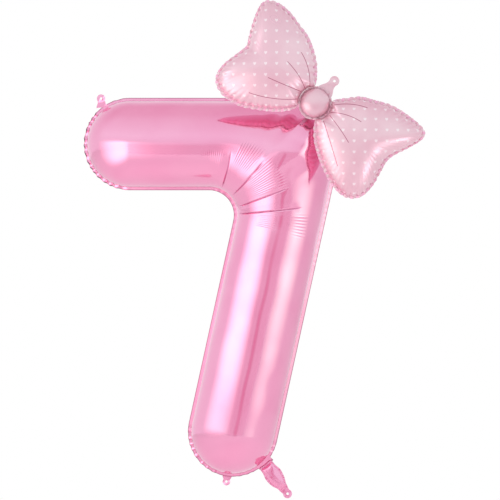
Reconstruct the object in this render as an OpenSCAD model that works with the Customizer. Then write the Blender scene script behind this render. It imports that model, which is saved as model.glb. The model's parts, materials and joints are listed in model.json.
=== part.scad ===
// Foil number balloon: a puffed number seven with a small bow balloon stuck to
// its top right corner. Millimetres, +Z up, the front faces -Y. The origin is
// the centre of the eyelet in the top hanging tab, and the seam that joins the
// front and back films of the seven lies in the plane y = 0.

/* [Number seven] */
// Width of the arm, seam to seam, with the sealed flange
arm_w = 207; // [180:1:240]
// Width of the stem with the sealed flange
stem_w = 202; // [180:1:240]
// From the centre of the arm's round end to where the centre lines cross
arm_reach = 373; // [340:1:420]
// From that crossing down to the centre of the stem's round end
stem_reach = 661; // [560:1:760]
// Lean of the stem away from upright, in degrees
lean = 12.4; // [8:0.1:16]
// Radius of the inner corner
inner_r = 56; // [45:1:70]
// Radius of the outer corner
outer_r = 60; // [45:1:80]
// Extra depth of the corner for each millimetre of extra half width
corner_gain = 0.42; // [0.2:0.01:0.6]

/* [Film and seams] */
// Thickness of one film
film_t = 0.8; // [0.6:0.1:1.2]
// Width of the sealed flange round the seven
flange_w = 6; // [4:0.5:8]
// Gap at a fold line between two film panels
fold_gap = 1.2; // [1.1:0.1:1.5]

/* [Tabs] */
// Radius of every eyelet
eyelet_r = 3; // [2:0.5:4]
// Direction of the top tab's eyelet from the centre of the arm's round end
top_tab_angle = 122.5; // [115:0.5:130]
// Distance of that eyelet from that centre
top_tab_reach = 121; // [118:1:124]
// Outside radius of the top tab's round end
top_tab_r = 9.5; // [8:0.5:11]
// Direction of the bottom tab from the centre of the stem's round end
bottom_tab_angle = 262.5; // [255:0.5:268]
// Distance of its eyelet from that centre
bottom_tab_reach = 113; // [111:0.5:116]
// Outside radius of the bottom tab's round end
bottom_tab_r = 8.5; // [7:0.5:9]

/* [Neck] */
// Direction of the inflation neck below the horizontal
neck_angle = 53; // [50:0.5:56]
// Distance of its fold line from the centre of the stem's round end
neck_root = 106; // [105:0.5:108]
// Sideways shift of the neck from that centre
neck_shift = 14; // [12:0.5:16]
// Half widths of the neck at its root, its middle and its tip
neck_half = [15.5, 20, 9.5];
// Length of the neck from its fold line to the tip tab's fold line
neck_len = 66; // [60:1:70]
// Height of the puff in each neck film
neck_puff = 5; // [3:0.5:7]
// Distance of the tip tab's eyelet from the neck's fold line
tip_eyelet = 79; // [77:1:82]
// Outside radius of the tip tab
tip_tab_r = 10; // [8:0.5:11]

/* [Valve] */
// Thickness of one valve ply
ply_t = 0.3; // [0.3:0.1:0.5]
// Width of the valve plies
ply_w = 20; // [14:1:22]
// Length of the valve inside the seven, past the seam
outlet_len = 80; // [60:1:100]

/* [Bow] */
// Centre of the knot, from the origin
bow_at = [479, -13];
// Distance of the bow's seam in front of the seam of the seven
bow_y = 123; // [122:1:150]
// Slope of the bow's long axis, in degrees
bow_slope = 41.4; // [38:0.1:44]
// Height of the puff in each film of a loop
loop_puff = 44; // [36:1:48]
// Half axes of the knot's sealed edge, along and across the bow
knot_edge = [34, 38];
// Radius of the knot's puffed middle
knot_r = 31; // [28:0.5:31]
// Height of the puff in each film of the knot
knot_puff = 28; // [20:1:29]
// Distance of the bow tab's eyelet from the knot's centre
bow_eyelet = 65; // [63:1:67]
// Outside radius of the bow tab's round end
bow_tab_r = 11; // [9:0.5:12]
// Width of the bow's own inflation neck, folded back behind the knot
bow_neck_w = 24; // [20:1:28]

/* [Glue dots] */
// Radius and thickness of one glue dot
dot_size = [6, 5];
// Places of the dots round the folded neck, in degrees back from the seam
dot_angles = [34, 52, 70];
// Sideways shift of the dots, to the side where the seven bulges most
dot_shift = 5; // [0:1:6]

/* [Hidden] */
$fn = 48;

// ---- plane geometry: every outline is drawn as [x, z] ----
function dir(a) = [cos(a), sin(a)];
function mix(a, b, f) = a + (b - a) * f;

arm_end = -top_tab_reach * dir(top_tab_angle);
crossing = arm_end + [arm_reach, 0];
down_stem = -[sin(lean), cos(lean)];
stem_side = [cos(lean), -sin(lean)];
stem_end = crossing + stem_reach * down_stem;

// Seam lines: the outline moved in by the width of the flange
arm_r = arm_w / 2 - flange_w;
stem_r = stem_w / 2 - flange_w;
inner_seam_r = inner_r + flange_w;
outer_seam_r = outer_r - flange_w;

// Centre of a corner's rounding that is da below the arm's centre line and
// ds to the right of the stem's centre line
function corner_centre(da, ds) =
    let (z = crossing[1] - da, down = (crossing[1] - z) / cos(lean))
    crossing + down_stem * down + [ds / cos(lean), 0];
inner_centre = corner_centre(arm_r + inner_seam_r, -stem_r - inner_seam_r);
outer_centre = corner_centre(-arm_r + outer_seam_r, stem_r - outer_seam_r);

// Where a ray from the inner corner's centre meets the outer seam
top_z = crossing[1] + arm_r;
right_gap = (outer_centre - inner_centre) * stem_side + outer_seam_r;
function ray_to_top(a) = (top_z - inner_centre[1]) / max(sin(a), 0.001);
function ray_to_right(a) = right_gap / max(cos(a + lean), 0.001);
function ray_to_round(a) =
    let (m = outer_centre - inner_centre, b = m * dir(a))
    b + sqrt(max(0, b * b - m * m + outer_seam_r * outer_seam_r));
function outer_reach(a) =
    let (t = min(ray_to_top(a), ray_to_right(a)), p = inner_centre + t * dir(a) - outer_centre)
    (p[0] > 0 && p * down_stem < 0 && p * stem_side > 0) ? ray_to_round(a) : t;

// ---- stations along the seven: [inner seam point, its normal, outer seam point, its normal] ----
arm_steps = 4;
corner_steps = 16;
stem_steps = 7;
up = [0, 1];
corner_turn = 90 + lean;
function rim_normal(a) =
    let (d = 1.5,
         p = inner_centre + outer_reach(a + d) * dir(a + d),
         q = inner_centre + outer_reach(a - d) * dir(a - d),
         n = [p[1] - q[1], q[0] - p[0]])
    n / norm(n);
arm_stations = [for (i = [0:arm_steps - 1])
    let (x = mix(arm_end[0], inner_centre[0], i / arm_steps))
    [[x, arm_end[1] - arm_r], -up, [x, arm_end[1] + arm_r], up]];
corner_stations = [for (i = [0:corner_steps])
    let (a = 90 - corner_turn * i / corner_steps)
    [inner_centre + inner_seam_r * dir(a), -dir(a),
     inner_centre + outer_reach(a) * dir(a), rim_normal(a)]];
stem_top = inner_centre + (inner_seam_r + stem_r) * stem_side;
stem_stations = [for (i = [1:stem_steps])
    let (c = mix(stem_top, stem_end, i / stem_steps))
    [c - stem_r * stem_side, -stem_side, c + stem_r * stem_side, stem_side]];
stations = concat(arm_stations, corner_stations, stem_stations);
last = len(stations) - 1;

// The crest line of the seven: [centre, height]
seven_spine = [for (s = stations)
    let (half = norm(s[2] - s[0]) / 2)
    [(s[0] + s[2]) / 2, half + (corner_gain - 1) * max(0, half - max(arm_r, stem_r))]];

// The neck's frame: its direction and its right-hand side
neck_dir = dir(-neck_angle);
neck_side = dir(90 - neck_angle);
neck_at = stem_end + neck_root * neck_dir + neck_shift * neck_side;

// The flange is wider where it runs out to the fold line of the neck
function flange_at(p, n) =
    let (r = p - stem_end, w = r * neck_side - neck_shift, rise = n * neck_dir,
         gap = neck_root - fold_gap - r * neck_dir)
    abs(w) < neck_half[0] + 1 && rise > 0.5 ? max(flange_w, gap / rise) : flange_w;
function rim_point(p, n, k) = [p, p + flange_at(p, n) * n, k];
function round_end(c, r, a0, a1, steps, k) = [for (i = [1:steps - 1])
    let (n = dir(mix(a0, a1, i / steps))) rim_point(c + r * n, n, k)];
end_steps = 24;
seven_rim = concat(
    [for (k = [0:last]) rim_point(stations[k][0], stations[k][1], k)],
    round_end(stem_end, stem_r, 180 - lean, 360 - lean, end_steps, last),
    [for (k = [last:-1:0]) rim_point(stations[k][2], stations[k][3], k)],
    round_end(arm_end, arm_r, 90, 270, end_steps, 0));

// ---- a puffed film: a domed skin with a flat sealed flange ----
// rim: closed loop of [seam point, flange point, number of its crest point]
// spine: list of [crest point, height]; steps: rings between seam and crest
function lift(p, y) = [p[0], y, p[1]];
function ring_outside(rim, spine, j, steps) = let (a = 90 * (j - 1) / steps)
    [for (q = rim) let (c = spine[q[2]])
        j == 0 ? lift(q[1], -film_t)
               : lift(mix(c[0], q[0], cos(a)), -film_t - c[1] * sin(a))];
function ring_inside(rim, spine, j, steps) = let (a = 90 * (j - 1) / steps)
    [for (q = rim) let (c = spine[q[2]], reach = norm(q[0] - c[0]))
        j == 0 ? lift(q[1], 0)
               : lift(mix(c[0], q[0], cos(a) * (1 - film_t / reach)), -c[1] * sin(a))];
function flat(lists) = [for (l = lists) for (p = l) p];

module film(rim, spine, steps) {
    n = len(rim);
    rings = steps + 1;
    inside = rings * n + len(spine);
    points = concat(
        flat([for (j = [0:steps]) ring_outside(rim, spine, j, steps)]),
        [for (c = spine) lift(c[0], -film_t - c[1])],
        flat([for (j = [0:steps]) ring_inside(rim, spine, j, steps)]),
        [for (c = spine) lift(c[0], -c[1])]);
    // one skin, its first point at number s; flip turns its faces round
    function turned(f, flip) = flip ? [f[2], f[1], f[0]] : f;
    function skin(s, flip) = concat(
        flat([for (j = [0:steps - 1]) for (i = [0:n - 1])
            let (a = s + j * n + i, b = s + j * n + (i + 1) % n)
            [turned([a, b, b + n], flip), turned([a, b + n, a + n], flip)]]),
        flat([for (i = [0:n - 1])
            let (e = (i + 1) % n, a = s + steps * n + i, b = s + steps * n + e,
                 ca = s + rings * n + rim[i][2], cb = s + rings * n + rim[e][2])
            ca == cb ? [turned([a, b, ca], flip)]
                     : [turned([a, b, cb], flip), turned([a, cb, ca], flip)]]));
    edge = flat([for (i = [0:n - 1])
        let (e = (i + 1) % n)
        [[i, inside + e, inside + i], [i, e, inside + e]]]);
    polyhedron(points, concat(skin(0, true), skin(inside, false), edge));
}

// A smooth closed curve through a few points
function curve_at(p, i, f) =
    let (n = len(p), a = p[(i + n - 1) % n], b = p[i], c = p[(i + 1) % n], d = p[(i + 2) % n])
    0.5 * (2 * b + (c - a) * f + (2 * a - 5 * b + 4 * c - d) * f * f
           + (3 * b - a - 3 * c + d) * f * f * f);
function smooth_loop(p, steps) = [for (i = [0:len(p) - 1]) for (s = [0:steps - 1])
    curve_at(p, i, s / steps)];
// The rim of a puff that has one crest point, seen from which its outline never folds back
function star_rim(outline, centre, flange) = [for (p = outline)
    [mix(p, centre, flange / norm(p - centre)), p, 0]];

// ---- places ----
// A module's own x and z axes are turned to lie along and across what it belongs to
module along(at, angle, y = 0) translate([at[0], y, at[1]]) rotate([0, -angle, 0]) children();

// The bent film along a fold line: a round bead on the fold's axis. A tab's
// bead stands a little proud of the plate
bead_proud = 1.1;
module bead(half, r) translate([0, 0, -half]) cylinder(h = 2 * half, r = r);
// The front quarter of a bead, for the edge of a front film
module front_bead(half) intersection() {
    bead(half, film_t);
    translate([-2 * film_t, -2 * film_t, -half]) cube([2 * film_t, 2 * film_t, 2 * half]);
}

// A flat tab that starts at its fold line x = 0; the eyelet is at x = reach
tab_t = 2 * film_t;
module tab(root_half, reach, r) {
    rotate([90, 0, 0]) difference() {
        linear_extrude(tab_t, center = true) hull() {
            translate([0, -root_half]) square([0.8, 2 * root_half]);
            translate([reach, 0]) circle(r, $fn = 32);
        }
        translate([reach, 0, -tab_t]) cylinder(h = 2 * tab_t, r = eyelet_r);
    }
    bead(root_half, bead_proud * film_t);
}

// ---- the seven ----
module seven_front_film() color("hotpink") film(seven_rim, seven_spine, 7);
module seven_back_film() color("palevioletred") mirror([0, 1, 0]) film(seven_rim, seven_spine, 7);

// The top tab stands on the round end of the arm, turned towards the top
top_fold_angle = 127;
top_fold_half = 12;
top_fold = arm_end + (arm_w / 2 + fold_gap) * dir(top_fold_angle);
module top_hanging_tab() color("deeppink") {
    rotate([90, 0, 0]) difference() {
        linear_extrude(tab_t, center = true) hull() {
            translate(top_fold) rotate(top_fold_angle) translate([0, -top_fold_half])
                square([0.8, 2 * top_fold_half]);
            circle(top_tab_r, $fn = 32);
        }
        translate([0, 0, -tab_t]) cylinder(h = 2 * tab_t, r = eyelet_r);
    }
    along(top_fold, top_fold_angle) bead(top_fold_half, bead_proud * film_t);
}
module bottom_ribbon_tab() color("deeppink")
    along(stem_end + (stem_w / 2 + fold_gap) * dir(bottom_tab_angle), bottom_tab_angle)
        tab(10, bottom_tab_reach - stem_w / 2 - fold_gap, bottom_tab_r);

// Two thin plies that let gas in and close flat when the seven is full
module valve_ply(length, side) translate([0, side * ply_t / 2, 0])
    cube([length, ply_t, ply_w], center = true);
module outlet_ply(side) color("white")
    along(stem_end + neck_shift * neck_side, -neck_angle)
        translate([stem_r - outlet_len / 2 - 6, 0, 0]) valve_ply(outlet_len, side);
module outlet_valve_front_ply() outlet_ply(-1);
module outlet_valve_back_ply() outlet_ply(1);

// ---- the neck ----
neck_centre = [neck_len / 2, 0];
neck_outline = smooth_loop([
    [0, neck_half[0]], [0, 0], [0, -neck_half[0]],
    [neck_len * 0.4, -neck_half[1]], [neck_len * 0.75, -neck_half[1] * 0.85],
    [neck_len, -neck_half[2]], [neck_len, 0], [neck_len, neck_half[2]],
    [neck_len * 0.75, neck_half[1] * 0.85], [neck_len * 0.4, neck_half[1]]], 3);
module neck_film() {
    film(star_rim([for (p = neck_outline) [min(max(p[0], 0), neck_len), p[1]]],
        neck_centre, 5), [[neck_centre, neck_puff]], 4);
    front_bead(neck_half[0] - 2);
}
module neck_front_film() color("hotpink") along(neck_at, -neck_angle) neck_film();
module neck_back_film() color("palevioletred") mirror([0, 1, 0]) along(neck_at, -neck_angle)
    neck_film();
module neck_ply(side) color("white") along(neck_at, -neck_angle)
    translate([neck_len / 2, 0, 0]) valve_ply(neck_len - 18, side);
module neck_valve_front_ply() neck_ply(-1);
module neck_valve_back_ply() neck_ply(1);
module neck_tip_tab() color("deeppink")
    along(neck_at + (neck_len + fold_gap) * neck_dir, -neck_angle)
        tab(neck_half[2] - 1, tip_eyelet - neck_len - fold_gap, tip_tab_r);

// ---- the bow: x runs along it, z across it ----
module on_bow() along(bow_at, -bow_slope, -bow_y) children();
module turned_back() mirror([0, 1, 0]) children();

knot_outline = [for (a = [0:10:350]) [knot_edge[0] * cos(a), knot_edge[1] * sin(a)]];
knot_rim = [for (p = knot_outline) [knot_r * p / norm(p), p, 0]];
module bow_knot_front_film() color("lightpink") on_bow() film(knot_rim, [[[0, 0], knot_puff]], 6);
module bow_knot_back_film() color("thistle") on_bow() turned_back()
    film(knot_rim, [[[0, 0], knot_puff]], 6);
module bow_hanging_tab() color("pink") on_bow()
    translate([0, 0, knot_edge[1] + fold_gap]) rotate([0, -90, 0])
        tab(14, bow_eyelet - knot_edge[1] - fold_gap, bow_tab_r);

// The outline of the right-hand loop: the straight waist beside the knot, then
// the lower edge, the lower tip, the notch, the upper tip and the upper edge
waist_x = knot_edge[0] + 2 * fold_gap;
waist_half = 20;
loop_curve = smooth_loop([
    [waist_x, 0], [waist_x, -waist_half], [27, -34], [66, -77], [120, -110], [166, -118],
    [195, -109], [210, -88], [212, -50], [201, 0], [220, 57], [231, 103], [212, 116],
    [170, 115], [118, 104], [66, 77], [27, 34], [waist_x, waist_half]], 3);
loop_centre = [108, 0];
loop_outline = [for (p = loop_curve)
    p[0] < loop_centre[0] && abs(p[1]) <= waist_half ? [waist_x, p[1]] : p];
module loop_film() {
    film(star_rim(loop_outline, loop_centre, flange_w), [[loop_centre, loop_puff]], 6);
    translate([waist_x, 0, 0]) front_bead(waist_half - 2);
}
module to_left() mirror([1, 0, 0]) children();
module bow_right_loop_front_film() color("lightpink") on_bow() loop_film();
module bow_right_loop_back_film() color("thistle") on_bow() turned_back() loop_film();
module bow_left_loop_front_film() color("lightpink") on_bow() to_left() loop_film();
module bow_left_loop_back_film() color("thistle") on_bow() to_left() turned_back() loop_film();

// The bow's neck leaves the knot's lower edge and lies folded back round it:
// four concentric strips, in millimetres out from the inner face
bow_neck_r = knot_edge[1] - 1;
bow_neck_start = 3;
bow_neck_sweep = 78;
module neck_strip(from, thick, inset) on_bow()
    translate([-bow_neck_w / 2 + inset, 0, 0]) rotate([0, 90, 0]) rotate([0, 0, bow_neck_start])
        rotate_extrude(angle = bow_neck_sweep, $fn = 96)
            translate([bow_neck_r + from, 0]) square([thick, bow_neck_w - 2 * inset]);
module bow_neck_inner_film() color("lightpink") neck_strip(0, film_t, 0);
module bow_valve_inner_ply() color("white") neck_strip(film_t, ply_t, 4);
module bow_valve_outer_ply() color("white") neck_strip(film_t + ply_t, ply_t, 4);
module bow_neck_outer_film() color("thistle") neck_strip(film_t + 2 * ply_t, film_t, 0);

// Soft clear glue dots between the folded neck and the corner of the seven
dot_r = bow_neck_r + 2 * film_t + 2 * ply_t;
module glue_dots() color("whitesmoke") on_bow() for (a = dot_angles)
    rotate([a, 0, 0]) translate([dot_shift, 0, -dot_r - dot_size[1]])
        cylinder(h = dot_size[1], r = dot_size[0]);

seven_front_film();
seven_back_film();
top_hanging_tab();
bottom_ribbon_tab();
outlet_valve_front_ply();
outlet_valve_back_ply();
neck_front_film();
neck_back_film();
neck_valve_front_ply();
neck_valve_back_ply();
neck_tip_tab();
bow_knot_front_film();
bow_knot_back_film();
bow_hanging_tab();
bow_neck_outer_film();
bow_neck_inner_film();
bow_valve_outer_ply();
bow_valve_inner_ply();
glue_dots();
bow_left_loop_front_film();
bow_left_loop_back_film();
bow_right_loop_front_film();
bow_right_loop_back_film();
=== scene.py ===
# %% [markdown]
# # A pink foil number balloon with a spotted bow
# A foil balloon is two sheets of metallised film, welded together in a narrow
# flange all round and blown up through a neck with a flat valve. Nothing in it
# is stiff: the gas pulls the film into round tubes, and wherever the flat film
# is longer than the round shape needs, it folds into pleats and puckers. So the
# lesson is about thin skins: a smooth tight skin in the middle, a wavy weld at
# the rim, and folds only where the outline turns.

# %% Frame
import json
import math

import bpy
import numpy as np
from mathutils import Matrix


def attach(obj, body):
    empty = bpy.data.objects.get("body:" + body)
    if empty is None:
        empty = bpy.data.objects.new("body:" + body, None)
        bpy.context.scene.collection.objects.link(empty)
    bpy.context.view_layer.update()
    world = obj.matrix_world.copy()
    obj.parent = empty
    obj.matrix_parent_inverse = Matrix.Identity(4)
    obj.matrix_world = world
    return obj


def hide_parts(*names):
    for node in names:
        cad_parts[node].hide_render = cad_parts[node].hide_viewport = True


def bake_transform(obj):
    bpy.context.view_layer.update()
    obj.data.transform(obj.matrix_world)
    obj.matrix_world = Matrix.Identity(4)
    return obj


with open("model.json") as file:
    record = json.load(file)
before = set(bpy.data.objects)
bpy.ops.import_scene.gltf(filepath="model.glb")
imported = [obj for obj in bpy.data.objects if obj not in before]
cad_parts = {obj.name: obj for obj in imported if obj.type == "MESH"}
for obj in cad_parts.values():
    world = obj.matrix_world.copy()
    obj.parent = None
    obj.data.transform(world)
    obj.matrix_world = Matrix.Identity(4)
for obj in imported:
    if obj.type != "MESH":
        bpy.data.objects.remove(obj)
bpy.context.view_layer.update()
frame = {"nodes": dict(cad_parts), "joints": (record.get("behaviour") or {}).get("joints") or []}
joints = {joint["name"]: joint for joint in frame["joints"]}

# %% [markdown]
# ## Tools for thin skins
# Every skin starts as a grid primitive. One side of the grid runs round the
# rim and the other climbs from the rim to the crest, so the grid is a net that
# can be drawn over any puffed outline. Its points are then placed by a rule,
# doubles are merged where the net closes on itself, and Solidify gives the film
# its thickness. A grid of quads that follows the weld keeps pleats crisp,
# because every pleat runs along the grid's own lines.

# %% Working on one piece at a time
def start_fresh():
    bpy.ops.object.select_all(action="DESELECT")


def pick(*pieces):
    """Selects these pieces alone and makes the first one active."""
    start_fresh()
    for piece in pieces:
        piece.select_set(True)
    bpy.context.view_layer.objects.active = pieces[0]


def in_edit_mode(piece, *steps):
    pick(piece)
    bpy.ops.object.mode_set(mode="EDIT")
    bpy.ops.mesh.select_all(action="SELECT")
    for step in steps:
        step()
    bpy.ops.object.mode_set(mode="OBJECT")


def points_of(piece):
    flat = np.empty(len(piece.data.vertices) * 3)
    piece.data.vertices.foreach_get("co", flat)
    return flat.reshape(-1, 3)


def move_points(piece, points):
    piece.data.vertices.foreach_set("co", np.asarray(points, float).ravel())
    piece.data.update()


# %% From a grid to a skin
SAME_POINT = 2e-6
SIDE_WORD = {-1: "front", 1: "back"}


def net(name, columns, rows):
    """A flat grid, and the column and row of each of its points."""
    start_fresh()
    bpy.ops.mesh.primitive_grid_add(x_subdivisions=columns, y_subdivisions=rows, size=1)
    piece = bpy.context.object
    piece.name = piece.data.name = name
    column, row = np.rint((points_of(piece)[:, :2] + 0.5) * (columns, rows)).astype(int).T
    return piece, column, row


def skin(name, columns, rows, place, flat_cut=None, marks=None):
    """A net of columns round the rim and rows up to the crest, put where place() says.
    marks are named shares from 0 to 1, one for each point, for the finish to read."""
    piece, column, row = net(name, columns, rows)
    column = column % columns
    move_points(piece, place(column, row))
    if flat_cut is not None:
        layer = piece.data.uv_layers[0]
        layer.name = "flat_cut"
        corner = np.empty(len(piece.data.loops), int)
        piece.data.loops.foreach_get("vertex_index", corner)
        layer.data.foreach_set("uv", flat_cut(column, row)[corner].ravel())
    for mark, share in (marks or {}).items():
        piece.data.attributes.new(mark, "FLOAT", "POINT").data.foreach_set(
            "value", share(column, row).astype(np.float32))
    in_edit_mode(piece, lambda: bpy.ops.mesh.remove_doubles(threshold=SAME_POINT),
                 lambda: bpy.ops.mesh.delete_loose())
    return piece


def face(piece, direction):
    """Turns the faces of an open skin towards a direction."""
    normals = np.empty(len(piece.data.polygons) * 3)
    piece.data.polygons.foreach_get("normal", normals)
    if (normals.reshape(-1, 3) @ np.array(direction, float)).sum() < 0:
        in_edit_mode(piece, lambda: bpy.ops.mesh.flip_normals())


def thicken(piece, thickness, smooth_angle=50):
    """Gives a skin its film thickness on the inner side, and smooth shading."""
    pick(piece)
    wall = piece.modifiers.new("film", "SOLIDIFY")
    wall.thickness = thickness
    wall.offset = -1
    bpy.ops.object.modifier_apply(modifier=wall.name)
    bpy.ops.object.shade_smooth_by_angle(angle=math.radians(smooth_angle))
    print(f"{piece.name}: {len(piece.data.polygons)} faces")
    return piece


# %% Soft steps and waves
def fade(x, start, end):
    """0 before start, 1 after end, and a soft step between."""
    f = np.clip((x - start) / (end - start), 0, 1)
    return f * f * (3 - 2 * f)


def window(x, low, high, soft):
    return fade(x, low - soft, low + soft) * (1 - fade(x, high - soft, high + soft))


def heading(degrees):
    a = np.radians(degrees)
    return np.stack([np.cos(a), np.sin(a)], -1)


def unit(v):
    return v / np.linalg.norm(v, axis=-1, keepdims=True)


def smooth_loop(points, steps):
    """A closed curve through given points, with steps points for each stretch."""
    p = np.asarray(points, float)
    a, b, c, d = np.roll(p, 1, 0), p, np.roll(p, -1, 0), np.roll(p, -2, 0)
    f = (np.arange(steps) / steps)[None, :, None]
    a, b, c, d = a[:, None], b[:, None], c[:, None], d[:, None]
    curve = 0.5 * (2 * b + (c - a) * f + (2 * a - 5 * b + 4 * c - d) * f ** 2
                   + (3 * b - a - 3 * c + d) * f ** 3)
    return curve.reshape(-1, 2)


def even_loop(points, count):
    """The same closed line with its points at equal distances, and those distances."""
    closed = np.vstack([points, points[:1]])
    run = np.concatenate([[0], np.cumsum(np.linalg.norm(np.diff(closed, axis=0), axis=1))])
    at = np.arange(count) * run[-1] / count
    return np.stack([np.interp(at, run, closed[:, 0]), np.interp(at, run, closed[:, 1])], -1), at


# %% [markdown]
# ## The outline of the seven
# The seven is a tube that follows two straight centre lines, an arm and a
# leaning stem. In the corner the tube is drawn as a fan of rays from the centre
# of the inner rounding. The same fan is the direction in which the real film
# creases, so it is worth keeping in the mesh: the crease lines and the fine
# pleats can then be added as waves across the rays.

# %% Sizes of the seven, in metres
LEAN = 12.4
ARM_HALF = 0.0975
STEM_HALF = 0.095
FLANGE = 0.006
INNER_ROUND = 0.062
OUTER_ROUND = 0.054
CORNER_GAIN = 0.42
FILM = 0.0004
SEAM_GAP = 0.00005

arm_end = -0.121 * heading(122.5)
crossing = arm_end + np.array([0.373, 0])
down_stem = -np.array([math.sin(math.radians(LEAN)), math.cos(math.radians(LEAN))])
stem_side = heading(-LEAN)
stem_end = crossing + 0.661 * down_stem


def corner_centre(below, right):
    lean_cos = math.cos(math.radians(LEAN))
    return crossing + down_stem * below / lean_cos + np.array([right / lean_cos, 0])


inner_centre = corner_centre(ARM_HALF + INNER_ROUND, -STEM_HALF - INNER_ROUND)
outer_centre = corner_centre(-ARM_HALF + OUTER_ROUND, STEM_HALF - OUTER_ROUND)
NECK_ANGLE = -53
neck_dir = heading(NECK_ANGLE)
neck_side = heading(NECK_ANGLE + 90)
NECK_SHIFT = 0.014
NECK_REACH = 0.106
NECK_ROOT_HALF = 0.0165
BOTTOM_TAB_ANGLE = 262.5
neck_at = stem_end + NECK_REACH * neck_dir + NECK_SHIFT * neck_side
print("centre of the stem's round end:", stem_end.round(4))


# %% Where a ray from the inner corner meets the outer seam
def outer_reach(degrees):
    ray = heading(degrees)
    to_top = (crossing[1] + ARM_HALF - inner_centre[1]) / np.maximum(ray[..., 1], 1e-3)
    gap = (outer_centre - inner_centre) @ stem_side + OUTER_ROUND
    to_right = gap / np.maximum(ray @ stem_side, 1e-3)
    straight = np.minimum(to_top, to_right)
    middle = outer_centre - inner_centre
    along = ray @ middle
    inside = np.maximum(0, along ** 2 - middle @ middle + OUTER_ROUND ** 2)
    rounded = along + np.sqrt(inside)
    p = inner_centre + straight[..., None] * ray - outer_centre
    in_corner = (p[..., 0] > 0) & (p @ down_stem < 0) & (p @ stem_side > 0)
    return np.where(in_corner, rounded, straight)


# %% Pairs of seam points along the tube, and the closed rim
# The columns stand closer near the corner, where the creases are
FINE_ARM_FROM = 0.185
FINE_STEM_SHARE = 0.13
ARM_STEPS = (17, 49)
FAN_STEPS = 301
STEM_STEPS = (57, 55)
END_STEPS = 151
FAN_PROBE = 1.5


def seven_rim():
    """Seam points, their outward normals, their crest points and crest heights."""
    x = np.concatenate([np.linspace(arm_end[0], FINE_ARM_FROM, ARM_STEPS[0])[:-1],
                        np.linspace(FINE_ARM_FROM, inner_centre[0], ARM_STEPS[1])[:-1]])
    arm_in = np.stack([x, np.full_like(x, arm_end[1] - ARM_HALF)], -1)
    arm_out = np.stack([x, np.full_like(x, arm_end[1] + ARM_HALF)], -1)
    up = np.tile([0.0, 1.0], (len(x), 1))
    turn = 90 - (90 + LEAN) * np.linspace(0, 1, FAN_STEPS)
    ray = heading(turn)
    fan_in = inner_centre + INNER_ROUND * ray
    fan_out = inner_centre + outer_reach(turn)[:, None] * ray
    ahead, behind = (inner_centre + outer_reach(turn + probe)[:, None] * heading(turn + probe)
                     for probe in (FAN_PROBE, -FAN_PROBE))
    fan_normal = unit(np.stack([(ahead - behind)[:, 1], (behind - ahead)[:, 0]], -1))
    top = inner_centre + (INNER_ROUND + STEM_HALF) * stem_side
    f = np.concatenate([np.linspace(0, FINE_STEM_SHARE, STEM_STEPS[0])[1:],
                        np.linspace(FINE_STEM_SHARE, 1, STEM_STEPS[1])[1:]])
    centre = top + f[:, None] * (stem_end - top)
    side = np.tile(stem_side, (len(f), 1))
    inner = np.vstack([arm_in, fan_in, centre - STEM_HALF * stem_side])
    inner_n = np.vstack([-up, -ray, -side])
    outer = np.vstack([arm_out, fan_out, centre + STEM_HALF * stem_side])
    outer_n = np.vstack([up, fan_normal, side])
    crest = (inner + outer) / 2
    half = np.linalg.norm(outer - inner, axis=1) / 2
    height = half + (CORNER_GAIN - 1) * np.maximum(0, half - ARM_HALF)
    ends = []
    for at, r, a0, a1 in ((stem_end, STEM_HALF, 180 - LEAN, 360 - LEAN),
                          (arm_end, ARM_HALF, 90, 270)):
        normal = heading(np.linspace(a0, a1, END_STEPS)[1:-1])
        count = len(normal)
        ends.append((at + r * normal, normal, np.tile(at, (count, 1)), np.full(count, r)))
    stem_round, arm_round = ends
    return [np.concatenate(parts) for parts in zip(
        (inner, inner_n, crest, height), stem_round,
        (outer[::-1], outer_n[::-1], crest[::-1], height[::-1]), arm_round)]


seam, seam_normal, crest, crest_height = seven_rim()
columns = len(seam)
gaps = np.linalg.norm(np.roll(seam, -1, 0) - seam, axis=1)
seam_run = np.concatenate([[0], np.cumsum(gaps)[:-1]])
print("columns round the seven:", columns, "seam:", round(float(gaps.sum()), 3), "m")

# %% [markdown]
# ## Puckers, creases and pleats
# A straight weld stays flat, because both films are cut as long as the tube
# there. Round the two ends the flat film is longer than the round end that it
# becomes, so the weld waves in and out and short ridges run into the skin. In
# the inner corner the film is pushed together: it takes four long sharp creases
# along the rays, and bands of fine pleats where it is slackest. They are real
# geometry here, from a fifth of a millimetre to nearly three millimetres deep,
# because a mirror finish shows every tilt of the surface.

# %% Where the weld puckers
from_arm = np.linalg.norm(seam - arm_end, axis=1)
from_stem = np.linalg.norm(seam - stem_end, axis=1)
on_arm_end = (np.abs(from_arm - ARM_HALF) < 1e-6) & (seam[:, 0] < arm_end[0] + 1e-6)
below_end = (seam - stem_end) @ down_stem
on_stem_end = (np.abs(from_stem - STEM_HALF) < 1e-6) & (below_end > -1e-6)
arm_share = np.clip((arm_end[0] - seam[:, 0]) / ARM_HALF, 0, 1)
stem_share = np.clip(below_end / STEM_HALF, 0, 1)
from_outer = np.linalg.norm(seam - outer_centre, axis=1)
pucker = np.where(on_arm_end, fade(arm_share, -0.02, 0.4), 0)
pucker = np.where(on_stem_end, 0.6 * fade(stem_share, -0.02, 0.4), pucker)
pucker = pucker + 0.55 * (1 - fade(from_outer, 0.056, 0.12))
STRAIGHT_PUCKER = 0.06
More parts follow.
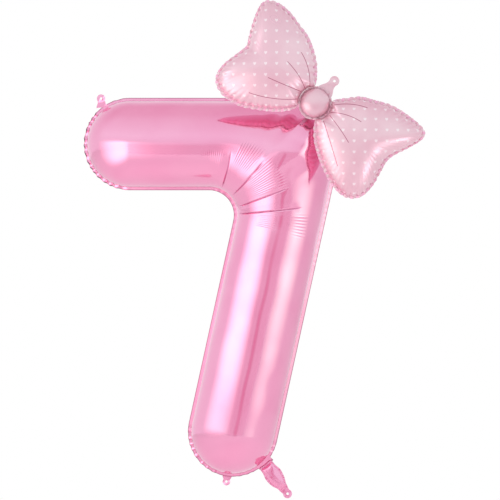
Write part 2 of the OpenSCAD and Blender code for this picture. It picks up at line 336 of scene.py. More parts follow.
# The flat weld leans back towards its edge, least where it faces left
weld_tilt = math.tan(math.radians(18)) * (0.30 + 0.70 * fade(seam_normal[:, 0], -0.6, 0.2))
tab_points = [arm_end + ARM_HALF * heading(124),
              stem_end + STEM_HALF * heading(BOTTOM_TAB_ANGLE), neck_at]
for point, reach in zip(tab_points, (0.013, 0.012, 0.022)):
    pucker = pucker * fade(np.linalg.norm(seam - point, axis=1), reach, reach + 0.014)
PUCKER_PITCH = 0.0155
pucker_phase = 2 * math.pi * seam_run / PUCKER_PITCH + 1.2 * np.sin(seam_run / 0.021) \
    + 0.9 * np.sin(seam_run / 0.0087 + 2)
pucker_wave = np.sin(pucker_phase) * (0.8 + 0.2 * np.sin(seam_run / 0.031))


# %% The weld runs wider where it meets the neck
def weld_width():
    r = seam - stem_end
    across = r @ neck_side - NECK_SHIFT
    rise = seam_normal @ neck_dir
    gap = NECK_REACH - 0.0005 - r @ neck_dir
    near_neck = (np.abs(across) < NECK_ROOT_HALF) & (rise > 0.5)
    return np.where(near_neck, np.maximum(FLANGE, gap / np.maximum(rise, 0.5)), FLANGE)


weld = weld_width()

# %% Creases and pleats of the inner corner
# Each crease: direction of its two ends, then their distances, from the corner's centre
FRONT_CREASES = [(64.5, 70.5, 0.070, 0.147), (39.7, 44.4, 0.072, 0.171),
                 (16.1, 18.6, 0.072, 0.186), (2.3, 4.3, 0.070, 0.206)]
BACK_CREASES = [(68, 72, 0.070, 0.150), (47, 50, 0.072, 0.165),
                (27, 30, 0.072, 0.180), (8, 9, 0.070, 0.190)]
# Each band of pleats: directions from and to, distances from and to, depth; the
# pitch is in degrees
PLEAT_BANDS = [(48, 65, 0.132, 0.190, 0.00042), (22, 44, 0.120, 0.176, 0.00042),
               (77, 98, 0.100, 0.138, 0.00016), (-14, 2, 0.112, 0.150, 0.00022),
               (-14, 0, 0.196, 0.217, 0.00022)]
PLEAT_PITCH = 1.9
CREASE_DEPTH = 0.0017
HOLLOW_DEPTH = 0.0010
DENT_DEPTH = 0.0016
SWELL_HEIGHT = 0.00015


def round_corner(x, z):
    """Distance and direction from the inner corner's centre."""
    dx, dz = x - inner_centre[0], z - inner_centre[1]
    return np.hypot(dx, dz), np.degrees(np.arctan2(dz, dx))


def crease_lines(x, z, creases, half_width):
    """1 on the long creases, fading over half_width to each side."""
    r, a = round_corner(x, z)
    out = np.zeros_like(r)
    for a0, a1, r0, r1 in creases:
        direction = a0 + (a1 - a0) * (r - r0) / (r1 - r0)
        off = np.radians(a - direction) * r
        share = window(r, r0 + 0.002, r1 - 0.006, 0.006)
        out = np.maximum(out, share * np.exp(-(off / half_width) ** 2))
    return out


def corner_folds(x, z, creases):
    """How far the skin is pushed out (or in) by the folds of the inner corner."""
    r, a = round_corner(x, z)
    out = -CREASE_DEPTH * crease_lines(x, z, creases, 0.0014) \
        - HOLLOW_DEPTH * crease_lines(x, z, creases, 0.011)
    for a0, a1, r0, r1, depth in PLEAT_BANDS:
        share = window(a, a0, a1, 1.5) * window(r, r0, r1, 0.012)
        out += depth * share * np.sin(2 * math.pi * a / PLEAT_PITCH)
    return out


def outer_crumple(x, z, shift):
    """Shallow dents where the outer corner of the tube is pulled round."""
    near = 1 - fade(np.hypot(x - outer_centre[0], z - outer_centre[1]), 0.05, 0.16)
    return DENT_DEPTH * near * (np.sin(x / 0.0105 + 1.3 * np.sin(z / 0.019) + shift)
                                * np.sin(z / 0.0125 - x / 0.028 + shift))


def slow_swell(x, z, shift):
    """A hand's breadth between swells, up to half a millimetre high."""
    return SWELL_HEIGHT * (np.sin(x / 0.019 + z / 0.031 + shift)
                           + np.sin(z / 0.023 - x / 0.037 + 2 * shift)
                           + np.sin(x / 0.045 + z / 0.016 - shift))


# %% Both skins of the seven
WELD_ROWS = 3
DOME_ROWS = 30
WELD_WAVE = 0.0024
WELD_SCALLOP = 0.0010
PUCKER_RIDGE = 0.0011


def seven_skin(side, creases, shift):
    """side is -1 for the front skin and 1 for the back skin."""

    def place(i, j):
        climb = np.maximum(j - WELD_ROWS, 0) / DOME_ROWS * math.pi / 2
        out = np.clip((WELD_ROWS - j) / WELD_ROWS, 0, 1)
        rim_wave = pucker_wave[i] * (pucker[i] + STRAIGHT_PUCKER)
        wave_y = WELD_WAVE * rim_wave * (0.35 + 0.65 * out)
        scallop = WELD_SCALLOP * pucker[i] * (1 - 2 * np.abs(np.cos(pucker_phase[i] / 2)))
        flat = crest[i] + (seam[i] - crest[i]) * np.cos(climb)[:, None]
        flat = flat + (weld[i] * out + scallop * out)[:, None] * seam_normal[i]
        rise = crest_height[i] * np.sin(climb)
        from_seam = climb * crest_height[i]
        push = PUCKER_RIDGE * pucker[i] * pucker_wave[i] * np.exp(-from_seam / 0.014)
        push = push * (j > WELD_ROWS)
        dome = fade(from_seam, 0.0, 0.03)
        push = push + dome * slow_swell(flat[:, 0], flat[:, 1], shift)
        push = push + dome * outer_crumple(flat[:, 0], flat[:, 1], shift)
        push = push + fade(from_seam, 0.004, 0.012) * corner_folds(flat[:, 0], flat[:, 1], creases)
        flat = flat + (push * np.cos(climb))[:, None] * seam_normal[i]
        y = side * (rise + push * np.sin(climb) + FILM + SEAM_GAP)
        y = y + wave_y * (1 - fade(from_seam, 0.0, 0.02))
        y = y + weld_tilt[i] * weld[i] * out * (1 - 0.8 * pucker[i])
        return np.stack([flat[:, 0], y, flat[:, 1]], -1)

    # Where the foil's colour gets painted shade: first along the sharp creases
    def on_folds(i, j):
        at = place(i, j)
        return crease_lines(at[:, 0], at[:, 2], creases, 0.0011) * (j > WELD_ROWS)

    # The weld's outer rows, which get painted shade
    def on_edge(i, j):
        return np.clip((WELD_ROWS - j) / WELD_ROWS, 0, 1)

    # The dips of the puckered weld, which get the darkest painted shade
    def in_dips(i, j):
        return on_edge(i, j) * np.clip(pucker[i], 0, 1) * fade(-pucker_wave[i], -0.1, 0.3)

    piece = skin(f"seven_{SIDE_WORD[side]}_skin", columns, WELD_ROWS + DOME_ROWS, place,
                 marks={"fold_shade": on_folds, "edge_shade": on_edge, "dip_shade": in_dips})
    face(piece, (0, side, 0))
    return thicken(piece, FILM)


seven_front = seven_skin(-1, FRONT_CREASES, 0.4)
seven_back = seven_skin(1, BACK_CREASES, 2.9)

# %% [markdown]
# ## Tabs with an eyelet
# A tab is a tongue of the two welded films with a punched hole. It could be cut
# from a plane with a Boolean, but a ring of quads from the hole to the outline
# bends better and gives the hole a clean edge. A tab is never quite flat: it
# takes a slight twist and a crumple when the balloon tightens.

# %% A tab as a ring of film
TAB_FILM = 0.0009
TAB_COLUMNS = 132
TAB_ROWS = 9
EYELET_RADIUS = 0.003


def tab_outline(root_half, reach, r, overlap):
    """The tongue's outline, from its root along one side, round the end and back."""
    waist = 0.86 * r
    lean = math.degrees(math.asin(waist / r))
    x = np.linspace(-overlap, reach - r * math.cos(math.radians(lean)), 14)[:-1]
    half = waist + (root_half - waist) * (1 - fade(x, -overlap, 0.62 * reach))
    arc = heading(np.linspace(180 - lean, lean - 180, 41)) * r + [reach, 0]
    root = np.stack([np.full(9, -overlap), np.linspace(-root_half, root_half, 9)], -1)[1:-1]
    return np.vstack([np.stack([x, half], -1), arc, np.stack([x, -half], -1)[::-1], root])


def place_along(at, angle, local_x, local_z, y):
    """Turns a piece's own length and width directions to where it belongs."""
    ax, az = heading(angle), heading(angle + 90)
    flat = np.asarray(at) + local_x[:, None] * ax + local_z[:, None] * az
    return np.stack([flat[:, 0], y, flat[:, 1]], -1)


def tab(name, at, angle, root_half, reach, r, y=0.0, twist=0.12, overlap=0.0015):
    outline, _ = even_loop(tab_outline(root_half, reach, r, overlap), TAB_COLUMNS)
    eyelet = np.array([reach, 0])
    hole = eyelet + EYELET_RADIUS * unit(outline - eyelet)

    def place(i, j):
        f = (j / TAB_ROWS)[:, None]
        flat = hole[i] + (outline[i] - hole[i]) * f
        x, z = flat[:, 0], flat[:, 1]
        free = fade(x, 0, reach)
        lift = twist * z * free + 0.0007 * free * np.sin(x / 0.0041 + z / 0.006)
        lip = 0.00025 * window(f[:, 0], -0.5, 0.12, 0.08)
        return place_along(at, angle, x, z, y + lift - TAB_FILM / 2 - lip)

    piece = skin(name, TAB_COLUMNS, TAB_ROWS, place)
    face(piece, (0, -1, 0))
    return thicken(piece, TAB_FILM)


top_fold = arm_end + 0.1047 * heading(127)
# The top eyelet is the frame's own zero point
top_way = -top_fold
top_angle = math.degrees(math.atan2(top_way[1], top_way[0]))
top_tab = tab("top_tab", top_fold, top_angle, 0.0125, float(np.linalg.norm(top_fold)), 0.0095)
bottom_fold = stem_end + 0.1022 * heading(BOTTOM_TAB_ANGLE)
bottom_tab = tab("bottom_tab", bottom_fold, BOTTOM_TAB_ANGLE, 0.0105, 0.0108, 0.0085,
                 twist=-0.1)
tip_fold = neck_at + 0.0672 * neck_dir
neck_tip = tab("neck_tip", tip_fold, NECK_ANGLE, 0.0095, 0.0118, 0.010, twist=0.3)

# %% [markdown]
# ## The inflation neck
# The neck is a short pocket of the same two films. It is only half full, since
# the valve inside it has pressed itself flat, so the pocket is a low pillow
# with long folds that run along it and twist towards its tip.

# %% Neck films
# The outline in millimetres from the neck's root, along it and across it
NECK_OUTLINE = [(-3, 15), (-3, 0), (-3, -15), (10, -17), (26, -20), (44, -17.5), (58, -11),
                (66.5, -9.5), (67, 0), (66.5, 9.5), (58, 11.5), (44, 17), (26, 20), (10, 17)]
NECK_COLUMNS = 200
NECK_ROWS = 26
NECK_WELD = 0.004
NECK_WELD_ROWS = 2
NECK_PUFF = 0.0065


def neck_skin(side):
    outline, run = even_loop(smooth_loop(np.array(NECK_OUTLINE) / 1000, 8), NECK_COLUMNS)
    middle = np.array([0.031, 0])
    inward = unit(middle - outline)
    edge_wave = np.sin(2 * math.pi * run / 0.011 + 1.5 * np.sin(run / 0.017))
    on_side = fade(np.abs(outline[:, 1]), 0.006, 0.012)

    def place(i, j):
        share = np.maximum(j - NECK_WELD_ROWS, 0) / (NECK_ROWS - NECK_WELD_ROWS)
        climb = share * math.pi / 2
        inner_edge = outline[i] + NECK_WELD * inward[i]
        out = np.clip((NECK_WELD_ROWS - j) / NECK_WELD_ROWS, 0, 1)[:, None]
        flat = inner_edge + (outline[i] - inner_edge) * out
        flat = flat + (middle - flat) * (1 - np.cos(climb))[:, None]
        x, z = flat[:, 0], flat[:, 1]
        puff = NECK_PUFF * np.sin(climb)
        folds = np.sin(z / 0.0027 + 1.8 * np.sin(x / 0.013) + side) \
            + 0.6 * np.sin(z / 0.0017 - x / 0.009 + 2 * side)
        puff = puff * (1 + 0.03 * folds * fade(share, 0.03, 0.5))
        wave = 0.0004 * edge_wave[i] * on_side[i] * (1 - fade(share, 0, 0.3))
        curl = 0.0035 * np.sin(x / 0.021 + 0.4) * fade(x, 0.004, 0.03) * (z / 0.02)
        y = side * (puff + FILM + SEAM_GAP) + wave + curl
        return place_along(neck_at, NECK_ANGLE, x, z, y)

    piece = skin(f"neck_{SIDE_WORD[side]}_skin", NECK_COLUMNS, NECK_ROWS, place)
    face(piece, (0, side, 0))
    return thicken(piece, FILM)


neck_front = neck_skin(-1)
neck_back = neck_skin(1)

# %% [markdown]
# ## The bow
# The bow is a second balloon. One weld runs round both loops and the hanging
# tab, and a ring weld in the middle makes the knot a bubble of its own. The
# loops are pinched where they meet that ring, so folds fan out from it, and the
# weld is scalloped all round because every edge of a loop is curved. Each loop
# is drawn as a net from its middle to its rim. Near the rim the net has the
# rim's shape and further in it turns into a smooth oval, as a tight film does.

# %% The bow's own directions: along it, out of the front, and across it
BOW_AT = np.array([0.479, -0.013])
BOW_Y = -0.123
BOW_SLOPE = -41.4
bow_along = heading(BOW_SLOPE)
bow_across = heading(BOW_SLOPE + 90)


def on_bow(x, z, y):
    """From the bow's own directions to the frame's."""
    flat = BOW_AT + np.asarray(x)[..., None] * bow_along + np.asarray(z)[..., None] * bow_across
    return np.stack([flat[..., 0], BOW_Y + y, flat[..., 1]], -1)


# Outlines in millimetres from the knot's centre, along the bow and across it. Each
# starts at the waist, runs out along one edge, round both tips and the notch
# between them, and back along the other edge
RIGHT_LOOP = [(36.2, 0), (33.0, -15.8), (25.6, -29), (50, -61), (88, -87), (126, -105), (162, -114),
              (187, -113), (205, -102), (216, -82), (217, -50), (210, -17), (205, 6), (208, 28),
              (220, 58), (231, 92), (228, 110), (210, 117), (168, 115), (130, 108), (98, 93),
              (67, 77), (45, 53), (26.5, 30), (33.0, 15.8)]
LEFT_LOOP = [(-36.2, 0), (-33.0, 15.8), (-25.4, 29), (-41, 52), (-65, 76), (-105, 99), (-138, 107),
             (-174, 114), (-205, 113), (-228, 103), (-235, 87), (-230, 64), (-219, 36),
             (-205, 8), (-198, -5), (-202, -30), (-209, -66), (-207, -94), (-196, -111),
             (-180, -120), (-159, -123), (-141, -120), (-120, -115), (-91, -99), (-54, -73),
             (-30, -47), (-25.6, -29.5), (-33.0, -15.8)]
LOOP_MIDDLE = 0.128
LOOP_RISE = {-1: 0.046, 1: 0.044}
LOOP_COLUMNS = 300
LOOP_WELD = 0.0055
SCALLOP_PITCH = 0.0145
SCALLOP_DEPTH = 0.0030
LOOP_WELD_ROWS = 3
LOOP_DOME_ROWS = 40
KNOT_RING = 0.0345


# %% A loop's net
def softened(radius, width):
    """A closed row of numbers, evened out over its neighbours."""
    kernel = np.exp(-(np.arange(-4 * width, 4 * width + 1) / width) ** 2)
    padded = np.concatenate([radius[-4 * width:], radius, radius[:4 * width]])
    return np.convolve(padded, kernel / kernel.sum(), "valid")


def loop_skin(name, outline_mm, side, shift):
    rim, run = even_loop(smooth_loop(np.array(outline_mm) / 1000, 12), LOOP_COLUMNS)
    middle = np.array([math.copysign(LOOP_MIDDLE, outline_mm[0][0]), 0.0])
    reach = np.linalg.norm(rim - middle, axis=1)
    ray = (rim - middle) / reach[:, None]
    oval = softened(reach, 14)
    to_ring = np.linalg.norm(rim, axis=1) - KNOT_RING
    at_waist = 1 - fade(to_ring, 0.003, 0.022)
    phase = math.pi * run / SCALLOP_PITCH + 0.9 * np.sin(run / 0.027 + shift)
    bump = np.abs(np.sin(phase))
    scallop = (SCALLOP_DEPTH * (bump - 0.62)) * (1 - at_waist) \
        * (1 + 0.35 * np.sin(run / 0.041 + shift))
    wave = 0.0011 * np.sin(phase * 2 + 0.6) * (1 - at_waist)
    width = LOOP_WELD * (1 - 0.9 * at_waist)

    def place(i, j):
        share = np.maximum(j - LOOP_WELD_ROWS, 0) / LOOP_DOME_ROWS
        f = np.cos(share * math.pi / 2)
        out = np.clip((LOOP_WELD_ROWS - j) / LOOP_WELD_ROWS, 0, 1)
        inner = reach - width
        mixed = f * (inner[i] * f ** 1.2 + oval[i] * 0.94 * (1 - f ** 1.2))
        r = mixed + out * width[i] + scallop[i] * np.where(j <= LOOP_WELD_ROWS, 1, f ** 14)
        flat = middle + r[:, None] * ray[i]
        from_rim = reach[i] - r
        rise = LOOP_RISE[side] * np.sin(share * math.pi / 2) ** 0.92
        x, z = flat[:, 0], flat[:, 1]
        ring = np.hypot(x, z)
        turn = np.arctan2(z, np.abs(x))
        ridge = 0.0016 * (bump[i] - 0.6) * (1 - at_waist[i]) * np.exp(-from_rim / 0.016)
        gather = np.sin(turn * 11 + 1.3 * np.sin(turn * 3 + shift)) \
            + 0.5 * np.sin(turn * 23 + shift)
        fan = 0.0021 * gather * np.exp(-np.maximum(ring - KNOT_RING, 0) / 0.019)
        swell = 0.0006 * (np.sin(x / 0.021 + shift) + np.sin(z / 0.017 - x / 0.05))
        rise = rise + (ridge + fan) * fade(share, 0.02, 0.16) + swell * fade(share, 0.1, 0.5)
        y = side * (np.maximum(rise, 0) + FILM + SEAM_GAP) + wave[i] * (1 - fade(share, 0, 0.14))
        return on_bow(x, z, y)

    def flat_cut(i, j):
        """The film before it was blown up: distances measured along the skin."""
        steps = np.arange(LOOP_WELD_ROWS + LOOP_DOME_ROWS + 1)
        grid_i, grid_j = np.meshgrid(np.arange(LOOP_COLUMNS), steps, indexing="ij")
        net = place(grid_i.ravel(), grid_j.ravel()).reshape(LOOP_COLUMNS, len(steps), 3)
        length = np.linalg.norm(np.diff(net[:, ::-1], axis=1), axis=2)
        walked = np.concatenate([np.zeros((LOOP_COLUMNS, 1)), np.cumsum(length, axis=1)], 1)
        walked = walked[:, ::-1]
        cut = middle + walked[i, j][:, None] * ray[i]
        return cut @ np.stack([bow_along, bow_across])

    piece = skin(name, LOOP_COLUMNS, LOOP_WELD_ROWS + LOOP_DOME_ROWS, place, flat_cut)
    face(piece, (0, side, 0))
    return thicken(piece, FILM)


left_front = loop_skin("bow_left_front_skin", LEFT_LOOP, -1, 0.3)
left_back = loop_skin("bow_left_back_skin", LEFT_LOOP, 1, 2.2)
right_front = loop_skin("bow_right_front_skin", RIGHT_LOOP, -1, 1.1)
right_back = loop_skin("bow_right_back_skin", RIGHT_LOOP, 1, 3.7)

# %% [markdown]
# ## The knot
# A small bubble inside a ring weld, a little flatter than a ball. The ring round
# it is pulled into little radial folds by both loops. The folds are marked on the
# net too, so that the finish can paint shade into their bottoms.

# %% Knot skins
KNOT_COLUMNS = 180
KNOT_ROWS = 34
KNOT_WELD_ROWS = 4
KNOT_BUBBLE = 0.0325
KNOT_RISE = 0.024
KNOT_HALF_WIDTH = 0.0355
KNOT_HALF_HEIGHT = 0.0385
KNOT_FOLDS = 17


def knot_skin(side):
    turn = np.arange(KNOT_COLUMNS) * 2 * math.pi / KNOT_COLUMNS
    ray = np.stack([np.cos(turn), np.sin(turn)], -1)
    rim = 1 / np.hypot(np.cos(turn) / KNOT_HALF_WIDTH, np.sin(turn) / KNOT_HALF_HEIGHT)
    folds = np.sin(turn * KNOT_FOLDS + np.sin(turn * 2)) + 0.5 * np.sin(turn * 31 + 1)

    def place(i, j):
        share = np.maximum(j - KNOT_WELD_ROWS, 0) / (KNOT_ROWS - KNOT_WELD_ROWS)
        out = np.clip((KNOT_WELD_ROWS - j) / KNOT_WELD_ROWS, 0, 1)
        r = KNOT_BUBBLE * np.cos(share * math.pi / 2) + out * (rim[i] - KNOT_BUBBLE)
        rise = KNOT_RISE * np.sin(share * math.pi / 2) ** 0.85
        rise = rise + 0.0005 * folds[i] * fade(share, 0, 0.08) * (1 - fade(share, 0.1, 0.5))
        y = side * (rise + FILM + SEAM_GAP) + 0.0012 * folds[i] * (0.15 + 0.85 * out) \
            * (1 - fade(share, 0, 0.1))
        return on_bow(r * ray[i, 0], r * ray[i, 1], y)

    def in_ring(i, j):
        near = np.clip(1 - np.abs(j - KNOT_WELD_ROWS) / KNOT_WELD_ROWS, 0, 1)
        return near * (0.75 + 0.25 * np.sin(turn * KNOT_FOLDS)[i])

    piece = skin(f"bow_knot_{SIDE_WORD[side]}_skin", KNOT_COLUMNS, KNOT_ROWS, place,
                 marks={"gathers": in_ring})
    face(piece, (0, side, 0))
    return thicken(piece, FILM)


knot_front = knot_skin(-1)
knot_back = knot_skin(1)

# %% The bow's hanging tab
bow_tab_fold = BOW_AT + 0.0392 * bow_across
bow_tab = tab("bow_tab", bow_tab_fold, BOW_SLOPE + 90, 0.0185, 0.0258, 0.011,
              y=BOW_Y + 0.0021, twist=0.08, overlap=0.0065)

# %% [markdown]
# ## The bow's folded neck
# The bow is filled through a neck of its own at the lower edge of the knot.
# When it is full, the neck is folded back behind the knot, where it makes a
# flat strap for the glue dots. It is modelled as two curved strips, one for each
# film, a little narrower and rippled in the middle.

# %% Neck strips behind the knot
STRAP_HALF = 0.012
STRAP_FILM = 0.0005
STRAP_START = 3
STRAP_SWEEP = 78
STRAP_COLUMNS = 71
STRAP_ROWS = 24


def strap(name, radius):
    """A strip of film bent round the back of the knot."""
    def place(i, j):
        f = i / STRAP_COLUMNS
        a = np.radians(STRAP_START + STRAP_SWEEP * f)
        across = (j / STRAP_ROWS * 2 - 1)
        pinch = 1 - 0.10 * np.sin(f * math.pi)
        ripple = 0.00012 * np.sin(across * 9 + 4 * f) * np.sin(f * 21 + across * 2)
        r = radius + ripple
        return on_bow(across * STRAP_HALF * pinch, -r * np.cos(a), r * np.sin(a))

    piece, column, row = net(name, STRAP_COLUMNS, STRAP_ROWS)
    move_points(piece, place(column, row))
    face(piece, on_bow(0, -0.03, 0.03) - on_bow(0, 0, 0))
    return thicken(piece, STRAP_FILM)


strap_inner = strap("bow_neck_inner_skin", 0.0338)
strap_outer = strap("bow_neck_outer_skin", 0.0352)

# %% [markdown]
# ## Glue dots
# Clear gel dots, pressed a little flat: cylinders with a soft rounded edge.

# %% Three glue dots
DOT_RADIUS = 0.006
DOT_DEPTH = 0.005
DOT_ANGLES = (34, 52, 70)
DOT_SHIFT = 0.005
# The CAD strap's two films and two valve plies, out from its inner radius
strap_back = 0.036 + 2 * 0.0008 + 2 * 0.0003
start_fresh()
bpy.ops.mesh.primitive_cylinder_add(vertices=40, radius=DOT_RADIUS, depth=DOT_DEPTH)
dot = bpy.context.object
soft_edge = dot.modifiers.new("soft edge", "BEVEL")
soft_edge.width = 0.0016
soft_edge.segments = 5
soft_edge.limit_method = "ANGLE"
bpy.ops.object.modifier_apply(modifier=soft_edge.name)
dot_shape = points_of(dot)
dots = [dot]
for _ in DOT_ANGLES[1:]:
    pick(dot)
    bpy.ops.object.duplicate()
    dots.append(bpy.context.object)
for piece, back_angle in zip(dots, DOT_ANGLES):
    a = math.radians(back_angle)
    x = DOT_SHIFT + dot_shape[:, 0]
    out = strap_back + DOT_DEPTH / 2 + dot_shape[:, 2]
    sideways = dot_shape[:, 1]
    move_points(piece, on_bow(x, -out * math.cos(a) + sideways * math.sin(a),
                              out * math.sin(a) + sideways * math.cos(a)))
pick(*dots)
bpy.ops.object.join()
dot.name = dot.data.name = "gel_dots"
in_edit_mode(dot, lambda: bpy.ops.mesh.normals_make_consistent(inside=False))
bpy.ops.object.shade_smooth_by_angle(angle=math.radians(50))
print("glue dots:", len(dot.data.polygons), "faces")

# %% [markdown]
# ## Writing shader maths as sums
# A pattern is easier to read as a formula than as a web of nodes. Wire wraps a
# node's output so that + - * / and the like add the Math node they stand for.
# Finish makes every other node from its type, its settings and its inputs.

# %% Wires and finishes
class Wire:
    """The output of a node, with arithmetic."""

    def __init__(self, finish, socket):
        self.finish = finish
        self.socket = socket

    def math(self, operation, *others, clamp=False):
        values = dict(enumerate((self,) + others))
        return self.finish.node("ShaderNodeMath", values, operation=operation, use_clamp=clamp)

    def __add__(self, other):
        return self.math("ADD", other)

    __radd__ = __add__

    def __mul__(self, other):
        return self.math("MULTIPLY", other)

    __rmul__ = __mul__

    def __sub__(self, other):
        return self.math("SUBTRACT", other)

    def __rsub__(self, other):
        return (self * -1) + other

    def __truediv__(self, other):
        return self.math("DIVIDE", other)

    def __pow__(self, other):
        return self.math("POWER", other)

    def __abs__(self):
        return self.math("ABSOLUTE")

    def __gt__(self, other):
        return self.math("GREATER_THAN", other)

    def __lt__(self, other):
        return self.math("LESS_THAN", other)

    def fraction(self):
        return self.math("FRACT")

    def largest(self, other):
        return self.math("MAXIMUM", other)


class Finish:
    """A material (or a lamp, or the world) whose nodes are made one call at a time."""

    def __init__(self, owner):
        owner.use_nodes = True
        self.owner = owner
        self.tree = owner.node_tree
        self.tree.nodes.clear()

    def node(self, kind, values=None, output=0, stops=None, **settings):
        made = self.tree.nodes.new(kind)
        for key, setting in settings.items():
            setattr(made, key, setting)
        if stops:
            ramp = made.color_ramp.elements
            while len(ramp) < len(stops):
                ramp.new(0.5)
            for element, (position, color) in zip(ramp, stops):
                element.position = position
                element.color = color
        for key, value in (values or {}).items():
            if isinstance(value, Wire):
                self.tree.links.new(value.socket, made.inputs[key])
            else:
                made.inputs[key].default_value = value
        return Wire(self, made.outputs[output]) if len(made.outputs) else None

    def soft_step(self, value, low, high):
        return self.node("ShaderNodeMapRange", {"Value": value, "From Min": low, "From Max": high},
                         interpolation_type="SMOOTHSTEP")

    def mix(self, factor, a, b):
        return self.node("ShaderNodeMix", {"Factor": factor, 6: a, 7: b}, output=2,
                         data_type="RGBA")

    def noise(self, place, scale, detail=2.0, roughness=0.5):
        return self.node("ShaderNodeTexNoise", {"Vector": place, "Scale": scale,
                                                "Detail": detail, "Roughness": roughness})

    def parts(self, vector):
        split = self.tree.nodes.new("ShaderNodeSeparateXYZ")
        self.tree.links.new(vector.socket, split.inputs[0])
        return [Wire(self, out) for out in split.outputs]

    def object_place(self):
        return self.node("ShaderNodeTexCoord", output="Object")

    def mark(self, name):
        """A share that the net carries from point to point; 0 where it has none."""
        return self.node("ShaderNodeAttribute", attribute_name=name, output="Fac")

    def relief(self, height, strength, distance):
        return self.node("ShaderNodeBump",
                         {"Height": height, "Strength": strength, "Distance": distance})

    def soft_frame(self, place, left, right, bottom, top):
        """1 inside a rectangle, fading out over a share of its size at each edge."""
        u, v, _ = self.parts(place)
        return self.soft_step(u, 0.0, left) * self.soft_step(u, 1.0, 1 - right) \
            * self.soft_step(v, 0.0, bottom) * self.soft_step(v, 1.0, 1 - top)

    def close(self, values):
        """Ends a material in one Principled shader."""
        shine = self.node("ShaderNodeBsdfPrincipled", values)
        self.node("ShaderNodeOutputMaterial", {"Surface": shine})


def new_finish(name):
    return Finish(bpy.data.materials.new(name))


def dress(finish, *pieces):
    """Gives pieces a material."""
    for piece in pieces:
        piece.data.materials.clear()
        piece.data.materials.append(finish.owner)


# %% [markdown]
# ## Pink foil
# The film is a clear pink plastic over a vapour of aluminium. The metal throws
# light back through the colour twice, so it is a tinted mirror with a clear
# gloss on top. Its roughness varies a little, and a faint rolling grain keeps the
# reflections from looking like glass. Shade is painted into the colour along the
# sharp creases, on the outer edge of the weld and, darkest, in the dips of the
# weld: it stands in for the film seeing itself in folds that are finer than the
# net. The marks on the net say where that is.

# %% Pink foil
FOIL_PINK = (0.950, 0.360, 0.560, 1)
FOIL_DEEP = (0.930, 0.320, 0.525, 1)
# Darker pinks for painted shade: in the creases, on the weld's outer edge and in the weld's dips
FOLD_SHADE_PINK = (0.520, 0.090, 0.220, 1)
EDGE_SHADE_PINK = (0.340, 0.070, 0.150, 1)
DIP_SHADE_PINK = (0.100, 0.025, 0.045, 1)
pink_foil = new_finish("pink_foil")
place = pink_foil.object_place()
tone = pink_foil.noise(place, 9.0, 3.0)
grain = pink_foil.noise(place, 260.0, 2.0)
color = pink_foil.mix(pink_foil.soft_step(tone, 0.35, 0.7), FOIL_PINK, FOIL_DEEP)
at_edge = pink_foil.soft_step(pink_foil.mark("edge_shade"), 0.60, 0.95)
in_dip = pink_foil.soft_step(pink_foil.mark("dip_shade"), 0.35, 0.9)
# Painted shade along the sharp creases
color = pink_foil.mix(pink_foil.mark("fold_shade") * 0.95, color, FOLD_SHADE_PINK)
# Painted shade on the weld's outer edge
color = pink_foil.mix(at_edge * 0.85, color, EDGE_SHADE_PINK)
# Painted shade, darkest, in the dips of the puckered weld
color = pink_foil.mix(in_dip * 0.95, color, DIP_SHADE_PINK)
pink_foil.close({
    "Base Color": color, "Metallic": 0.9, "Roughness": 0.085 + 0.05 * tone, "IOR": 1.5,
    "Coat Weight": 0.3, "Coat Roughness": 0.05,
    "Normal": pink_foil.relief(0.7 * tone + 0.06 * grain, 0.05, 0.002)})
dress(pink_foil, seven_front, seven_back, top_tab, bottom_tab, neck_tip, neck_front, neck_back)

# %% [markdown]
# ## Spotted pearl film
# The bow's film is printed: a dusty pink with a pearly, softer shine, small
# white hearts in a square grid, and a few thin creases drawn round the knot.
# The hearts follow the flat cut of the film, so they squash towards the rim as
# on the real bow. Each drawn crease is an arc of a circle, given by its two
# ends and a point between. The back films have no print and a deeper pink, which
# shows in the mirror of the seven.

# %% The pearl film and its print
PEARL = (0.810, 0.430, 0.530, 1)
PEARL_PALE = (0.850, 0.500, 0.590, 1)
PEARL_SHADE = (0.420, 0.120, 0.200, 1)
PEARL_BACK = (0.970, 0.450, 0.650, 1)
PRINT_WHITE = (0.92, 0.72, 0.78, 1)
PRINT_LINE = (0.42, 0.07, 0.15, 1)
HEART_PITCH = 0.0245
HEART_SIZE = 0.0031
# Three points of each drawn crease, in millimetres along and across the bow
DRAWN_CREASES = [((-97, 63), (-52, 39), (-32, 18)), ((-106, 27), (-66, 20), (-38, 9)),
                 ((-115, -28), (-78, -16), (-40, -2)), ((-125, -81), (-72, -52), (-35, -20)),
                 ((35, 24), (58, 47), (95, 68)), ((40, 6), (70, 25), (105, 35)),
                 ((43, 0), (76, -7), (114, -18)), ((40, -18), (80, -42), (130, -73))]


def arc_through(a, b, c):
    """Centre and radius of the circle through three points."""
    rows = 2 * np.array([np.subtract(b, a), np.subtract(c, a)], float)
    right = [np.dot(b, b) - np.dot(a, a), np.dot(c, c) - np.dot(a, a)]
    centre = np.linalg.solve(rows, right)
    return centre, float(np.linalg.norm(centre - a))


def drawn_creases(finish):
    """1 on the thin lines drawn round the knot."""
    x, _, z = finish.parts(finish.object_place())
    dx, dz = x - float(BOW_AT[0]), z - float(BOW_AT[1])
    along = dx * float(bow_along[0]) + dz * float(bow_along[1])
    across = dx * float(bow_across[0]) + dz * float(bow_across[1])
    ink = None
    for points in DRAWN_CREASES:
        first, middle, last = (np.array(point) / 1000 for point in points)
        centre, radius = arc_through(first, middle, last)
        cx, cz = along - float(centre[0]), across - float(centre[1])
        off = abs((cx * cx + cz * cz) ** 0.5 - radius)
        chord = last - first
        share = ((along - float(first[0])) * float(chord[0])
                 + (across - float(first[1])) * float(chord[1])) / float(chord @ chord)
        inside = (share > 0) * (share < 1)
        line = (1 - finish.soft_step(off, 0.0004, 0.0010)) * inside
        ink = line if ink is None else ink.largest(line)
    return ink


